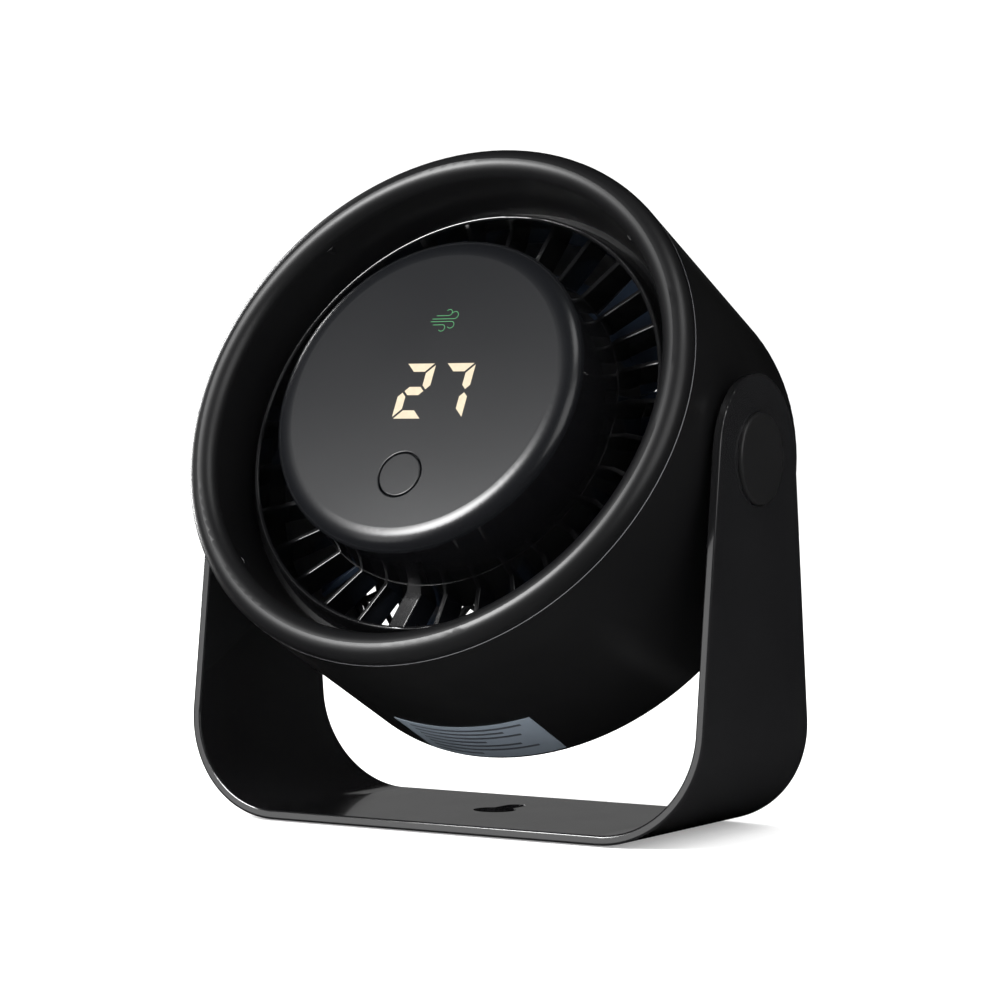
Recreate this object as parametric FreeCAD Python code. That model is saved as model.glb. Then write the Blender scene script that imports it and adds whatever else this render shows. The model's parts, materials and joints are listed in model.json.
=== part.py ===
"""Desk fan: a round fan head that tilts in a U-shaped stand.

World frame: +Z up, the fan faces -Y, the origin is the centre of the stand's
keyhole, level with what the fan stands on. The head is modelled in a frame of
its own: Z is the fan's axis, towards the front, X is the tilt axis, and the
origin is where the two axes cross. place_head() turns it into the world.
"""

import FreeCAD
import Part
import math
import os

from FreeCAD import Vector

# ---- clearances ----
RUN_GAP = 0.05          # shaft in a running bore, on the radius
SLIP_GAP = 0.3          # between parts that move past each other
FIT_GAP = 0.1           # between parts that are put together
SCREW_GAP = 0.2         # round a screw in a plain hole, on the radius

# ---- stand ----
STAND_DEPTH = 85.0
STRIP = 3.2             # thickness of the U-shaped strip
BEND_RADIUS = 36.6      # outside of the two lower corners
TIP_RADIUS = 27.8       # rounded top of each arm
ARM_GAP = 2.2           # between the drum and each arm
BASE_GAP = 16.43        # between the base and the head as it tilts past
STRIP_EDGE = 0.7        # rounding of the strip's long edges
KEYHOLE_RADIUS = 7.3
KEYHOLE_SLOT = 7.0      # width of the keyhole's slot
KEYHOLE_REACH = 14.0    # from the round hole's centre to the slot's end centre
PAD_RADIUS = 6.0
PAD_RECESS = 0.8
PAD_PROUD = 0.5
PAD_INSET_X = 48.0
PAD_INSET_Y = 30.0

# ---- tilt pivot ----
REST_TILT = 25.6        # the head's upward tilt at rest, degrees
STUD_RADIUS = 4.0       # shoulder of the pivot stud
STUD_THREAD = 2.5
STUD_HEAD_RADIUS = 6.5
STUD_HEAD = 1.6
BUSH_RADIUS = 6.0
BUSH_FLANGE_RADIUS = 9.0
BUSH_FLANGE = 0.8
CAP_RADIUS = 15.3
CAP_PROUD = 1.5
CAP_SPIGOT_RADIUS = 12.8
CAP_RECESS = 2.1        # depth of the arm's round recess
CAP_EDGE = 0.9
BOSS_RADIUS = 14.0
BOSS_PROUD = 0.8        # pivot boss beyond the drum's side
INSERT_RADIUS = 3.6
INSERT_LENGTH = 8.5
WASHER_RADIUS = 12.0

# ---- head: drum and bezel ----
HEAD_RADIUS = 94.6
WALL = 2.2
DRUM_FRONT = 43.2       # the drum's front edge, along the fan's axis
DRUM_REAR = -41.0
REAR_EDGE = 2.0
SEAM = 0.35             # open line between drum and bezel
LIP_TUBE = 5.4          # radius of the bezel's rolled lip
FUNNEL_GAP = 2.4        # groove between the funnel's rear edge and the throat
FUNNEL_REAR = 24.0
SPIGOT_LENGTH = 6.0
BOSS_TUBE = 3.4         # outer radius of the screw bosses
SCREW_CORE = 1.5
SCREW_HEAD_RADIUS = 2.8
SCREW_HEAD = 2.0

# ---- head: front guard ----
RIM_FRONT = 31.8
RIM_INSET = 3.7         # how far the rim's front edge stands inside the throat
RIM_WALL = 1.7
RIM_REAR = 22.4         # where the rim sits on the guard's flange
CASING_DEPTH = 15.3     # from the drum's outside in to the throat
VANE_FRONT = 18.4
VANE_REAR = 8.0
VANE_COUNT = 30
VANE_THICK = 1.8
VANE_SWEEP = 2.9        # turn of each vane from root to tip, degrees
VANE_EDGE = 0.45
DUCT_WIDTH = 6.4        # the one wide vane, which carries the lead
DUCT_INDEX = 8          # vanes from the right-hand one, clockwise
HUB_RING_RADIUS = 59.0
HUB_SEAM = 26.0         # where the hub housing meets the guard
HUB_FLOOR = 14.0

# ---- head: hub ----
HUB_TAPER = 1.8         # how much narrower the hub housing is at its front
COVER_LAP = 0.1         # how far the cover stands out over the housing
COVER_ROUND = 7.2       # width of the cover's rounded edge
COVER_FACE = 52.3       # the flat display face, along the fan's axis
COVER_REAR = 47.7
COVER_WALL = 1.8
SKIRT_WALL = 1.4
SKIRT_DEPTH = 2.6
BUTTON_RADIUS = 7.7
BUTTON_DROP = 31.0      # button centre below the face's centre
BUTTON_TRAVEL = 0.6
BUTTON_EDGE = 0.4       # rounding of the button's edge and of its hole
BOARD = 1.6
BOARD_FRONT = 44.0
DISPLAY_WIDTH = 42.0
DISPLAY_HEIGHT = 26.0
CELL_RADIUS = 9.2
CELL_LENGTH = 65.0
CELL_COUNT = 4
MAIN_BOARD_WIDTH = 56.0
MAIN_BOARD_HEIGHT = 86.0
STANDOFF_RADIUS = 2.4

# ---- head: motor and impeller ----
SHAFT_RADIUS = 2.0
SHAFT_REAR = -31.0
BEARING_RADIUS = 5.0
BEARING_WIDTH = 4.0
TUBE_WALL = 1.5
STATOR_RADIUS = 18.0
STATOR_FRONT = 6.0
STATOR_REAR = -7.0
ROTOR_RADIUS = 23.0
ROTOR_WALL = 1.4
ROTOR_FRONT = 8.0
ROTOR_REAR = -11.0
MAGNET_THICK = 2.6
BASE_PLATE_RADIUS = 30.0
BASE_PLATE = 2.4
IMPELLER_FRONT = 5.0
IMPELLER_REAR = -28.0
IMPELLER_HUB_INSET = 3.0
IMPELLER_HUB_REAR = 38.0
IMPELLER_WALL = 2.0
BLADE_COUNT = 9
BLADE_PHASE = 13.0      # where the first blade stands at rest, degrees
TIP_GAP = 2.0           # between the blades and the throat
BLADE_THICK = 1.8
BLADE_CHORD = 33.0

# ---- head: shroud, rear grille, socket ----
SHROUD_WALL = 1.9
SHROUD_FLANGE = 2.0
GRILLE_LIP = 3.2        # how far the grille's opening reaches beyond the throat
GRILLE_THICK = 2.4
GRILLE_BAR = 1.7
GRILLE_PITCH = 6.4
GRILLE_SPOKES = 12
GRILLE_BOSS = 19.0
SOCKET_WIDTH = 9.0
SOCKET_HEIGHT = 3.3
SOCKET_LENGTH = 7.4
SOCKET_WALL = 0.35
LEAD_RADIUS = 1.3
LEAD_BEND = 3.5
LEAD_DROP = 42.0        # where the power lead goes down through the hub's floor
MOTOR_LEAD_RADIUS = 1.1
MOTOR_LEAD_DROP = 16.0  # where the motor lead goes up through the hub's floor
LABEL_ANGLE = -87.0     # middle of the label, from the right-hand side
LABEL_SPAN = 32.0
LABEL_FRONT = -10.5
LABEL_LENGTH = 27.5
LABEL_THICK = 0.15

# ---- worked out from the sizes above ----
DRUM_INNER = HEAD_RADIUS - WALL
BEZEL_REAR = DRUM_FRONT + SEAM
LIP_CENTRE = BEZEL_REAR + 0.3
THROAT_RADIUS = HEAD_RADIUS - CASING_DEPTH
RIM_RADIUS = THROAT_RADIUS - RIM_INSET
FUNNEL_REAR_RADIUS = THROAT_RADIUS + FUNNEL_GAP
GRILLE_OPENING = THROAT_RADIUS + GRILLE_LIP
BLADE_TIP = THROAT_RADIUS - TIP_GAP
ARM_INNER = HEAD_RADIUS + ARM_GAP
HALF_WIDTH = ARM_INNER + STRIP
HALF_DEPTH = STAND_DEPTH / 2
HEAD_REACH = math.hypot(HEAD_RADIUS, max(LIP_CENTRE, -DRUM_REAR))
PIVOT_Z = PAD_PROUD + STRIP + BASE_GAP + HEAD_REACH
BOSS_FACE = HEAD_RADIUS + BOSS_PROUD
LIP_RADIUS = HEAD_RADIUS - LIP_TUBE
SCREW_RING = (THROAT_RADIUS + SHROUD_WALL + DRUM_INNER) / 2
GUARD_WALL = THROAT_RADIUS + SHROUD_WALL
DUCT_ANGLE = -DUCT_INDEX * 360.0 / VANE_COUNT
HUB_RADIUS = HUB_RING_RADIUS - HUB_TAPER
HUB_INNER = HUB_RADIUS - 2 * COVER_WALL
COVER_RADIUS = HUB_RADIUS + COVER_LAP
COVER_FACE_RADIUS = COVER_RADIUS - COVER_ROUND
BOARD_RADIUS = HUB_INNER
IMPELLER_HUB_FRONT = HUB_RING_RADIUS - IMPELLER_HUB_INSET
POST_RING = HUB_INNER - BOSS_TUBE + 0.6
HUB_FLOOR_FRONT = HUB_FLOOR + 2.5
BOARD_REAR = BOARD_FRONT - BOARD
SHROUD_FRONT = VANE_REAR
GRILLE_FRONT = DRUM_REAR + WALL + GRILLE_THICK
LEAD_LEVEL = HUB_FLOOR - LEAD_RADIUS - 0.3
SOCKET_BOARD_FRONT = DRUM_REAR + WALL + 16
DIAGONALS = (45, 135, 225, 315)
MOTOR_SCREW_ANGLES = (90, 210, 330)

X_AXIS = Vector(1, 0, 0)
Z_AXIS = Vector(0, 0, 1)
HERE = Vector(0, 0, 0)


# ---- helpers ----
def rod(radius, low, high, x=0.0, y=0.0):
    """A cylinder along Z between two heights."""
    return Part.makeCylinder(radius, high - low, Vector(x, y, low))


def tube(inner, outer, low, high):
    """A ring along Z between two heights."""
    return rod(outer, low, high).cut(rod(inner, low - 1, high + 1))


def block(x0, x1, y0, y1, z0, z1):
    """A box between two corners."""
    return Part.makeBox(x1 - x0, y1 - y0, z1 - z0, Vector(x0, y0, z0))


def turned(outline):
    """A solid turned about Z from a closed outline in (radius, height)."""
    points = [Vector(r, 0, h) for r, h in outline]
    face = Part.Face(Part.makePolygon(points + points[:1]))
    return face.revolve(HERE, Z_AXIS, 360)


def spin(shape, degrees):
    """A copy of the shape turned about Z."""
    copy = shape.copy()
    copy.rotate(HERE, Z_AXIS, degrees)
    return copy


def around(shape, angles):
    """Copies of the shape turned about Z to each angle."""
    return [spin(shape, angle) for angle in angles]


def joined(shapes):
    """One clean solid from shapes that overlap or touch."""
    whole = shapes[0].multiFuse(shapes[1:])
    return whole.removeSplitter()


def side_rod(radius, x0, x1):
    """A cylinder along X about the tilt axis."""
    return Part.makeCylinder(radius, x1 - x0, Vector(x0, 0, 0), X_AXIS)


def side_tube(inner, outer, x0, x1):
    """A ring along X about the tilt axis."""
    return side_rod(outer, x0, x1).cut(side_rod(inner, x0 - 1, x1 + 1))


def mirrored(shape):
    """The other side's copy of a shape."""
    return shape.mirror(HERE, X_AXIS)


def at_pivot(shape):
    """Lift a stand part from the tilt axis's own frame to its height."""
    return shape.translated(Vector(0, 0, PIVOT_Z))


def place_head(shape):
    """Turn a head part into the world, at the rest tilt."""
    copy = shape.copy()
    copy.rotate(HERE, X_AXIS, 90 - REST_TILT)
    return at_pivot(copy)


# ---- stand ----
def stand_outline():
    """Front view of the U-shaped strip, as a closed face in X and Z."""
    low, top = PAD_PROUD, PIVOT_Z + TIP_RADIUS + 1
    bend_x = HALF_WIDTH - BEND_RADIUS
    bend_z = low + BEND_RADIUS
    diagonal = math.sqrt(0.5)

    def half(side, offset):
        radius = BEND_RADIUS - offset
        start = Vector(side * bend_x, 0, bend_z - radius)
        middle = Vector(side * (bend_x + radius * diagonal), 0, bend_z - radius * diagonal)
        end = Vector(side * (bend_x + radius), 0, bend_z)
        tip = Vector(side * (bend_x + radius), 0, top)
        return start, middle, end, tip

    edges = []
    for offset in (0.0, STRIP):
        right = half(1, offset)
        left = half(-1, offset)
        edges.append(Part.makeLine(left[0], right[0]))
        for start, middle, end, tip in (right, left):
            edges.append(Part.Arc(start, middle, end).toShape())
            edges.append(Part.makeLine(end, tip))
    for side in (1, -1):
        edges.append(Part.makeLine(half(side, 0.0)[3], half(side, STRIP)[3]))
    return Part.Face(Part.Wire(Part.__sortEdges__(edges)))


def stand_side_view():
    """Side view of the stand: arms that narrow from the base to their round tips."""
    low = PAD_PROUD
    rise = PIVOT_Z - low
    reach = math.hypot(HALF_DEPTH, rise)
    run = math.sqrt(reach ** 2 - TIP_RADIUS ** 2)
    lean = math.atan2(rise, -HALF_DEPTH) - math.asin(TIP_RADIUS / reach)
    touch_y = HALF_DEPTH + run * math.cos(lean)
    touch_z = low + run * math.sin(lean)
    right = Vector(0, touch_y, touch_z)
    left = Vector(0, -touch_y, touch_z)
    top = Vector(0, 0, PIVOT_Z + TIP_RADIUS)
    base_right = Vector(0, HALF_DEPTH, low)
    base_left = Vector(0, -HALF_DEPTH, low)
    edges = [
        Part.makeLine(base_left, base_right),
        Part.makeLine(base_right, right),
        Part.Arc(right, top, left).toShape(),
        Part.makeLine(left, base_left),
    ]
    return Part.Face(Part.Wire(edges))


def keyhole():
    """Cutter for the keyhole in the base: round hole and a slot to the rear."""
    low, high = PAD_PROUD - 1, PAD_PROUD + STRIP + 1
    half = KEYHOLE_SLOT / 2
    hole = rod(KEYHOLE_RADIUS, low, high)
    slot = block(-half, half, 0, KEYHOLE_REACH, low, high)
    end = rod(half, low, high, 0, KEYHOLE_REACH)
    return joined([hole, slot, end])


def pad_centres():
    """Where the four pads sit on the underside."""
    return [(x, y) for x in (-PAD_INSET_X, PAD_INSET_X) for y in (-PAD_INSET_Y, PAD_INSET_Y)]


def stand_bracket():
    """The bent strip with its keyhole, pivot holes, cap recesses and pad recesses."""
    strip = stand_outline().extrude(Vector(0, STAND_DEPTH, 0)).translated(Vector(0, -HALF_DEPTH, 0))
    side = stand_side_view().extrude(Vector(2 * HALF_WIDTH + 2, 0, 0)).translated(Vector(-HALF_WIDTH - 1, 0, 0))
    body = strip.common(side).removeSplitter()
    body = body.makeFillet(STRIP_EDGE, body.Edges)
    cuts = [keyhole()]
    hole = side_rod(BUSH_RADIUS, ARM_INNER - 1, HALF_WIDTH + 1)
    recess = side_rod(CAP_SPIGOT_RADIUS + FIT_GAP, HALF_WIDTH - CAP_RECESS, HALF_WIDTH + 1)
    for cutter in (hole, recess):
        cuts += [at_pivot(cutter), at_pivot(mirrored(cutter))]
    for x, y in pad_centres():
        cuts.append(rod(PAD_RADIUS, PAD_PROUD - 1, PAD_PROUD + PAD_RECESS, x, y))
    return body.cut(cuts)


def foot_pads():
    """Four rubber pads in recesses under the base."""
    pads = []
    for x, y in pad_centres():
        pad = rod(PAD_RADIUS, 0, PAD_PROUD + PAD_RECESS, x, y)
        rim = [edge for edge in pad.Edges if abs(edge.BoundBox.ZMax) < 1e-6]
        pads.append(pad.makeFillet(PAD_PROUD / 2, rim))
    return Part.makeCompound(pads)


# ---- tilt pivot, right-hand side in the tilt axis's own frame ----
def pivot_bush():
    """Flanged bush pressed into the arm."""
    floor = HALF_WIDTH - CAP_RECESS
    bore = STUD_RADIUS + RUN_GAP
    shank = side_tube(bore, BUSH_RADIUS, ARM_INNER, floor + BUSH_FLANGE)
    flange = side_tube(bore, BUSH_FLANGE_RADIUS, floor, floor + BUSH_FLANGE)
    return joined([shank, flange])


def stud_head_seat():
    """Inner face of the stud's head, just clear of the bush."""
    return HALF_WIDTH - CAP_RECESS + BUSH_FLANGE + FIT_GAP


def pivot_stud():
    """Shoulder screw that carries the head in the arm's bush."""
    seat = stud_head_seat()
    thread = side_rod(STUD_THREAD, BOSS_FACE - INSERT_LENGTH, BOSS_FACE + 0.5)
    shoulder = side_rod(STUD_RADIUS, BOSS_FACE, seat + 0.5)
    head = side_rod(STUD_HEAD_RADIUS, seat, seat + STUD_HEAD)
    drive = Part.makeBox(2, 8, 1.2, Vector(seat + STUD_HEAD - 0.9, -4, -0.6))
    return joined([thread, shoulder, head]).cut(drive)


def pivot_insert():
    """Threaded brass insert in the drum's pivot boss."""
    return side_tube(STUD_THREAD, INSERT_RADIUS, BOSS_FACE - INSERT_LENGTH, BOSS_FACE)


def friction_washer():
    """Washer between the drum's boss and the arm, which holds the tilt."""
    return side_tube(STUD_RADIUS + FIT_GAP, WASHER_RADIUS, BOSS_FACE, ARM_INNER - FIT_GAP)


def pivot_cap():
    """Round cover over the stud, plugged into the arm's recess."""
    outer_face = HALF_WIDTH + CAP_PROUD
    disc = side_rod(CAP_RADIUS, HALF_WIDTH, outer_face)
    edge = [e for e in disc.Edges if abs(e.BoundBox.XMin - outer_face) < 1e-6]
    disc = disc.makeFillet(CAP_EDGE, edge)
    spigot = side_rod(CAP_SPIGOT_RADIUS, HALF_WIDTH - CAP_RECESS, HALF_WIDTH + 0.5)
    hollow_end = stud_head_seat() + STUD_HEAD + SLIP_GAP
    hollow = side_rod(CAP_SPIGOT_RADIUS - 1.6, HALF_WIDTH - CAP_RECESS - 1, hollow_end)
    return joined([disc, spigot]).cut(hollow)


# ---- head: casing ----
def screw_posts(radius, low, high, hole):
    """Four screw bosses on the screw ring, each with a pilot hole."""
    post = rod(radius, low, high, SCREW_RING, 0).cut(rod(hole, low - 1, high - 4, SCREW_RING, 0))
    return around(post, DIAGONALS)


def drum_shell():
    """The drum: side wall, inward rear flange, pivot bosses, socket opening."""
    outer = rod(HEAD_RADIUS, DRUM_REAR, DRUM_FRONT)
    rear_edge = [e for e in outer.Edges if abs(e.BoundBox.ZMax - DRUM_REAR) < 1e-6]
    outer = outer.makeFillet(REAR_EDGE, rear_edge)
    front_edge = [e for e in outer.Edges if abs(e.BoundBox.ZMin - DRUM_FRONT) < 1e-6]
    outer = outer.makeChamfer(0.3, front_edge)
    shell = outer.cut(rod(DRUM_INNER, DRUM_REAR + WALL, DRUM_FRONT + 1))
    shell = shell.cut(rod(GRILLE_OPENING, DRUM_REAR - 1, DRUM_FRONT))
    boss = side_rod(BOSS_RADIUS, BOSS_FACE - INSERT_LENGTH, BOSS_FACE)
    shell = joined([shell, boss, mirrored(boss)])
    bore = side_rod(INSERT_RADIUS, BOSS_FACE - INSERT_LENGTH - 1, BOSS_FACE + 1)
    cuts = [bore, mirrored(bore)]
    screw = rod(SCREW_CORE + SCREW_GAP, DRUM_REAR - 1, DRUM_REAR + WALL + 1, SCREW_RING, 0)
    sink = rod(SCREW_HEAD_RADIUS + SCREW_GAP, DRUM_REAR - 1, DRUM_REAR + WALL / 2, SCREW_RING, 0)
    cuts += around(screw, DIAGONALS) + around(sink, DIAGONALS)
    cuts.append(spin(socket_body(FIT_GAP, DRUM_REAR - 1, DRUM_REAR + WALL + 1), DUCT_ANGLE))
    return shell.cut(cuts)


def bezel_profile():
    """Half section of the bezel as a face: rolled lip, funnel and rear spigot."""
    skin = WALL - 0.2
    corner = LIP_TUBE * math.sqrt(0.5)
    lip_inner = LIP_RADIUS - LIP_TUBE
    spigot = DRUM_INNER - FIT_GAP
    spigot_end = BEZEL_REAR - SPIGOT_LENGTH
    hollow_in = lip_inner + skin
    hollow_out = spigot - skin
    outer_mid = Vector(HEAD_RADIUS, 0, LIP_CENTRE)
    outer_slope = Vector(LIP_RADIUS + corner, 0, LIP_CENTRE + corner)
    crest = Vector(LIP_RADIUS, 0, LIP_CENTRE + LIP_TUBE)
    inner_slope = Vector(LIP_RADIUS - corner, 0, LIP_CENTRE + corner)
    inner_mid = Vector(lip_inner, 0, LIP_CENTRE)
    funnel_front = Vector(FUNNEL_REAR_RADIUS, 0, FUNNEL_REAR)
    funnel_back = Vector(FUNNEL_REAR_RADIUS + skin, 0, FUNNEL_REAR)
    hollow_start = Vector(hollow_in, 0, LIP_CENTRE)
    hollow_crest = Vector((hollow_in + hollow_out) / 2, 0, LIP_CENTRE + LIP_TUBE - skin)
    hollow_end = Vector(hollow_out, 0, LIP_CENTRE)
    edges = [
        Part.Arc(outer_mid, outer_slope, crest).toShape(),
        Part.Arc(crest, inner_slope, inner_mid).toShape(),
        Part.makeLine(inner_mid, funnel_front),
        Part.makeLine(funnel_front, funnel_back),
        Part.makeLine(funnel_back, hollow_start),
        Part.Arc(hollow_start, hollow_crest, hollow_end).toShape(),
    ]
    corners = [hollow_end, Vector(hollow_out, 0, spigot_end), Vector(spigot, 0, spigot_end),
               Vector(spigot, 0, BEZEL_REAR), Vector(HEAD_RADIUS, 0, BEZEL_REAR), outer_mid]
    for start, end in zip(corners, corners[1:]):
        edges.append(Part.makeLine(start, end))
    return Part.Face(Part.Wire(edges))


def front_bezel():
    """The bezel, with four bosses down to the shroud's flange."""
    ring = bezel_profile().revolve(HERE, Z_AXIS, 360)
    return joined([ring] + screw_posts(BOSS_TUBE, SHROUD_FRONT, LIP_CENTRE, SCREW_CORE))


# ---- head: front guard ----
def guard_rim():
    """Raised glossy ring round the vanes, held between the guard's flange and the bezel."""
    nose = RIM_WALL / 2
    seat_radius = SCREW_RING - BOSS_TUBE - FIT_GAP
    inner = Vector(RIM_RADIUS, 0, RIM_FRONT - nose)
    crest = Vector(RIM_RADIUS + nose, 0, RIM_FRONT)
    outer = Vector(RIM_RADIUS + RIM_WALL, 0, RIM_FRONT - nose)
    corners = [outer,
               Vector(THROAT_RADIUS + 0.4, 0, FUNNEL_REAR),
               Vector(seat_radius, 0, FUNNEL_REAR),
               Vector(seat_radius, 0, RIM_REAR),
               Vector(rim_inner(RIM_REAR), 0, RIM_REAR),
               inner]
    edges = [Part.Arc(inner, crest, outer).toShape()]
    for start, end in zip(corners, corners[1:]):
        edges.append(Part.makeLine(start, end))
    return Part.Face(Part.Wire(edges)).revolve(HERE, Z_AXIS, 360)


def rim_inner(level):
    """Radius of the throat's front part, which narrows from the vanes to the rim."""
    share = (level - VANE_FRONT) / (RIM_FRONT - RIM_WALL / 2 - VANE_FRONT)
    return THROAT_RADIUS + (RIM_RADIUS - THROAT_RADIUS) * share


def guard_throat():
    """Outer wall of the guard, with a flange under the rim."""
    seat_radius = SCREW_RING - BOSS_TUBE - FIT_GAP
    outline = [
        (rim_inner(RIM_REAR), RIM_REAR),
        (seat_radius, RIM_REAR),
        (seat_radius, RIM_REAR - 2.0),
        (GUARD_WALL, RIM_REAR - 2.0),
        (GUARD_WALL, VANE_REAR + FIT_GAP),
        (THROAT_RADIUS, VANE_REAR + FIT_GAP),
        (THROAT_RADIUS, VANE_FRONT),
    ]
    return turned(outline)


def vane(width):
    """One vane lying along X, with a rounded front edge; swept about its root."""
    root = HUB_RING_RADIUS - 0.8
    tip = THROAT_RADIUS + 0.8
    plate = block(root, tip, -width / 2, width / 2, VANE_REAR + FIT_GAP, VANE_FRONT)
    front = [e for e in plate.Edges
             if abs(e.BoundBox.ZMin - VANE_FRONT) < 1e-6 and e.BoundBox.XLength > 5]
    plate = plate.makeFillet(VANE_EDGE, front)
    chord = (tip - root) / 2
    lean = math.degrees(math.atan2(math.radians(VANE_SWEEP) * tip, 2 * chord))
    plate.rotate(Vector(root, 0, 0), Z_AXIS, -lean)
    return plate


def vane_angles():
    """Every vane's angle but the wide one's."""
    step = 360.0 / VANE_COUNT
    return [-index * step for index in range(VANE_COUNT) if index != DUCT_INDEX]


def hub_ring():
    """Centre of the guard: ring wall and the floor that holds the motor."""
    wall = tube(HUB_RING_RADIUS - WALL, HUB_RING_RADIUS, VANE_REAR + FIT_GAP, HUB_SEAM - 0.1)
    floor = rod(HUB_RING_RADIUS - WALL / 2, HUB_FLOOR, HUB_FLOOR_FRONT)
    return [wall, floor]


def floor_slot(drop, radius):
    """Slot through the hub's floor and the motor base for a lead that goes up and turns outwards."""
    half = radius + SCREW_GAP
    low, high = HUB_FLOOR - BASE_PLATE - 1, HUB_FLOOR_FRONT + 1
    return block(drop - half, drop + LEAD_BEND, -half, half, low, high)


def lead_holes():
    """Channel through the wide vane, and a slot in the hub's floor for each lead."""
    start = Vector(HUB_RING_RADIUS - WALL - 1, 0, LEAD_LEVEL)
    run = GUARD_WALL - HUB_RING_RADIUS + WALL + 2
    channel = Part.makeCylinder(LEAD_RADIUS + SCREW_GAP, run, start, X_AXIS)
    return [spin(channel, DUCT_ANGLE), spin(floor_slot(LEAD_DROP, LEAD_RADIUS), DUCT_ANGLE),
            floor_slot(MOTOR_LEAD_DROP, MOTOR_LEAD_RADIUS)]


def front_guard():
    """Throat wall, radial vanes and hub ring in one moulding."""
    parts = [guard_throat()] + hub_ring()
    parts += around(vane(VANE_THICK), vane_angles())
    parts.append(spin(vane(DUCT_WIDTH), DUCT_ANGLE))
    guard = joined(parts)
    screw = rod(SCREW_CORE + SCREW_GAP, HUB_FLOOR - 1, HUB_FLOOR_FRONT + 1, POST_RING, 0)
    motor = rod(SCREW_CORE, HUB_FLOOR - 1, HUB_FLOOR_FRONT + 1, BASE_PLATE_RADIUS - 4, 0)
    return guard.cut(around(screw, DIAGONALS) + around(motor, MOTOR_SCREW_ANGLES) + lead_holes())


# ---- head: hub ----
def hub_housing():
    """Side wall of the hub with four screw posts."""
    rear = HUB_SEAM
    front = COVER_REAR - FIT_GAP
    wall = turned([
        (HUB_RING_RADIUS - 0.3, rear),
        (HUB_RADIUS, front),
        (HUB_RADIUS - COVER_WALL, front),
        (HUB_RING_RADIUS - 0.3 - COVER_WALL, rear),
    ])
    post = rod(BOSS_TUBE, HUB_FLOOR_FRONT, BOARD_REAR, POST_RING, 0)
    web = block(POST_RING, HUB_RADIUS - COVER_WALL / 2, -0.8, 0.8, rear, BOARD_REAR)
    whole = joined([wall] + around(post, DIAGONALS) + around(web, DIAGONALS))
    pilots = [rod(SCREW_CORE, HUB_FLOOR_FRONT - 1, HUB_FLOOR_FRONT + 9, POST_RING, 0),
              rod(1.0, BOARD_REAR - 6, BOARD_REAR + 1, POST_RING, 0)]
    cuts = []
    for pilot in pilots:
        cuts += around(pilot, DIAGONALS)
    return whole.cut(cuts)


def cover_form(inset):
    """The cover's solid form, drawn in by an inset: flat face and elliptical edge."""
    face = COVER_FACE - inset
    flat = COVER_FACE_RADIUS - inset / 2
    reach = COVER_RADIUS - inset - flat
    ellipse = Part.Ellipse(Vector(flat, 0, COVER_REAR), reach, face - COVER_REAR)
    ellipse.Axis = Vector(0, -1, 0)
    arc = Part.ArcOfEllipse(ellipse, 0, math.pi / 2).toShape()
    start, end = arc.Vertexes[0].Point, arc.Vertexes[-1].Point
    top, bottom = Vector(0, 0, face), Vector(0, 0, COVER_REAR)
    outline = [arc, Part.makeLine(end, top), Part.makeLine(top, bottom), Part.makeLine(bottom, start)]
    return Part.Face(Part.Wire(outline)).revolve(HERE, Z_AXIS, 360)


def display_cover():
    """Shallow round cover with a flat face, a skirt into the hub and a hole for the button."""
    shell = cover_form(0.0).cut(cover_form(COVER_WALL))
    skirt_radius = HUB_RADIUS - COVER_WALL - FIT_GAP
    skirt = tube(skirt_radius - SKIRT_WALL, skirt_radius, COVER_REAR - SKIRT_DEPTH, COVER_REAR + 2)
    button = rod(BUTTON_RADIUS + SLIP_GAP, BOARD_FRONT, COVER_FACE + 1, 0, -BUTTON_DROP)
    cover = joined([shell, skirt]).cut(button)
    rim = [e for e in cover.Edges
           if abs(e.BoundBox.ZMin - COVER_FACE) < 1e-6 and e.BoundBox.XLength < 3 * BUTTON_RADIUS]
    return cover.makeFillet(BUTTON_EDGE, rim)


def power_button():
    """Round push button, flush with the face, with a retaining collar and a stem."""
    collar_front = COVER_FACE - COVER_WALL - SLIP_GAP
    cap = rod(BUTTON_RADIUS, collar_front - 1.2, COVER_FACE, 0, -BUTTON_DROP)
    edge = [e for e in cap.Edges if abs(e.BoundBox.ZMin - COVER_FACE) < 1e-6]
    cap = cap.makeFillet(BUTTON_EDGE, edge)
    collar = rod(BUTTON_RADIUS + 1.2, collar_front - 1.2, collar_front, 0, -BUTTON_DROP)
    stem = rod(1.6, BOARD_FRONT + 3.4, collar_front, 0, -BUTTON_DROP)
    return joined([cap, collar, stem])


def switch_plunger():
    """Plunger of the switch, under the button's stem."""
    return rod(1.2, BOARD_FRONT + 1.6, BOARD_FRONT + 3.4, 0, -BUTTON_DROP)


def push_switch():
    """Body of the push switch on the display board."""
    body = block(-3, 3, -BUTTON_DROP - 3, -BUTTON_DROP + 3, BOARD_FRONT, BOARD_FRONT + 2.5)
    well = rod(1.2 + RUN_GAP, BOARD_FRONT + 1.6 - BUTTON_TRAVEL - 0.2, BOARD_FRONT + 3, 0, -BUTTON_DROP)
    return body.cut(well)


def display_board():
    """Round circuit board behind the cover, on the housing's posts."""
    board = rod(BOARD_RADIUS, BOARD_REAR, BOARD_FRONT)
    hole = rod(1.2, BOARD_REAR - 1, BOARD_FRONT + 1, POST_RING, 0)
    return board.cut(around(hole, DIAGONALS))


def display_module():
    """Box of the two-digit display, close behind the cover."""
    half_w, half_h = DISPLAY_WIDTH / 2, DISPLAY_HEIGHT / 2
    front = COVER_FACE - COVER_WALL - FIT_GAP
    return block(-half_w, half_w, -half_h, half_h, BOARD_FRONT, front)


def icon_lamp():
    """Small light box behind the air-flow symbol."""
    front = COVER_FACE - COVER_WALL - FIT_GAP
    return block(-8, 8, 20, 32, BOARD_FRONT, front)


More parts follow.
